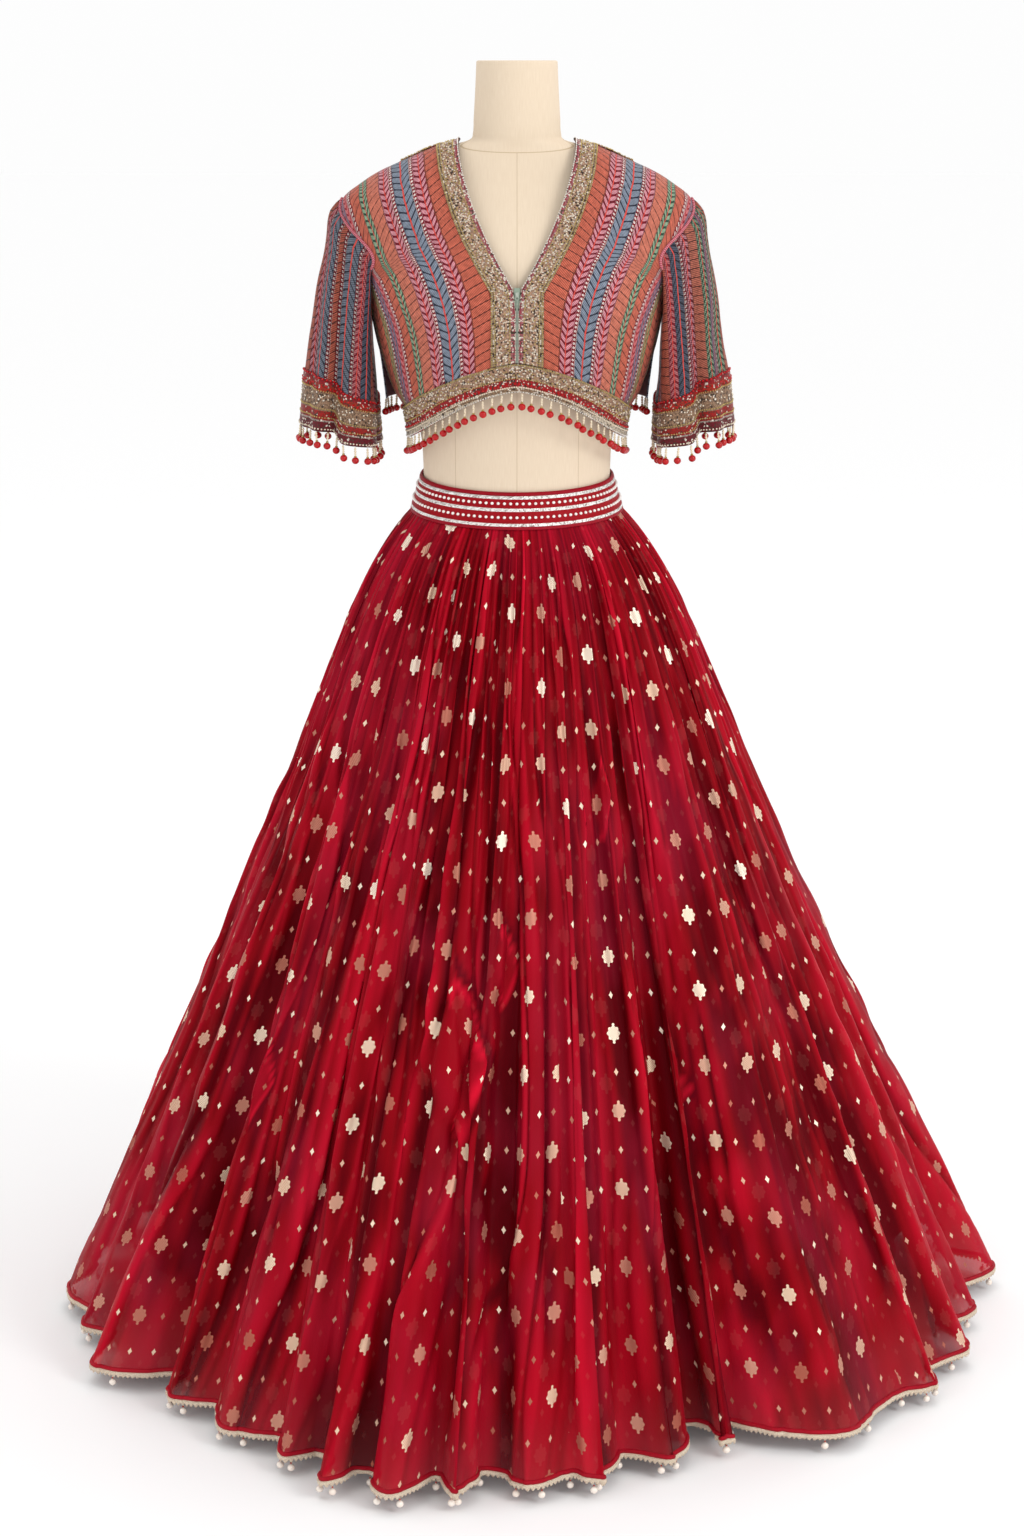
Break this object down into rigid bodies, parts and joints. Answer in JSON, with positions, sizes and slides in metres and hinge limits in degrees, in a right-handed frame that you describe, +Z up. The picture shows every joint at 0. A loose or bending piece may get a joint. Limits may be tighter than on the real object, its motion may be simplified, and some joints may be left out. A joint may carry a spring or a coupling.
{
  "type": "lehenga skirt and choli blouse set on a limbless dress form with a stand",
  "caption": "Full gathered floor-length skirt with a sheer outer layer and a short embroidered V-neck blouse with bead fringe, worn by a limbless dress form on a pole and round foot.",
  "frame": {"origin": "on the floor, at the middle of the foot's underside, on the pole's axis", "axes": "+Z up, -Y towards the front of the outfit, +X towards the wearer's left"},
  "size_m": [1.231, 1.2368, 1.594],
  "materials": {
    "organza": "sheer crimson organza with small foil motifs",
    "lining": "crimson satin lining",
    "waistband": "red cloth with rows of silver sequins and white beads",
    "stripes": "dense striped embroidery in coral, pink, crimson, slate blue and green",
    "gold": "antique gold metal thread and bead embroidery",
    "beads": "glossy red balls on cream bead strands",
    "lace": "cream scalloped lace with pearl drops",
    "zip": "pale green zip tape with closed teeth",
    "linen": "ivory linen over a shaped body",
    "steel": "satin dark grey paint"
  },
  "bodies": {
    "root": {"blouse_back": "stripes", "blouse_cuff_left": "gold", "blouse_cuff_right": "gold", "blouse_fringe_back": "beads", "blouse_fringe_cuff_left": "beads", "blouse_fringe_cuff_right": "beads", "blouse_fringe_front": "beads", "blouse_front_left": "stripes", "blouse_front_right": "stripes", "blouse_hem_border": "gold", "blouse_neck_border_back": "gold", "blouse_neck_border_left": "gold", "blouse_neck_border_right": "gold", "blouse_sleeve_left": "stripes", "blouse_sleeve_right": "stripes", "blouse_zip": "zip", "form_foot": "steel", "form_pole": "steel", "form_torso": "linen", "skirt_hem_lace": "lace", "skirt_lining_1": "lining", "skirt_lining_2": "lining", "skirt_lining_3": "lining", "skirt_lining_4": "lining", "skirt_lining_5": "lining", "skirt_lining_6": "lining", "skirt_lining_7": "lining", "skirt_lining_8": "lining", "skirt_panel_1": "organza", "skirt_panel_2": "organza", "skirt_panel_3": "organza", "skirt_panel_4": "organza", "skirt_panel_5": "organza", "skirt_panel_6": "organza", "skirt_panel_7": "organza", "skirt_panel_8": "organza", "skirt_waistband": "waistband"}
  },
  "joints": []
}
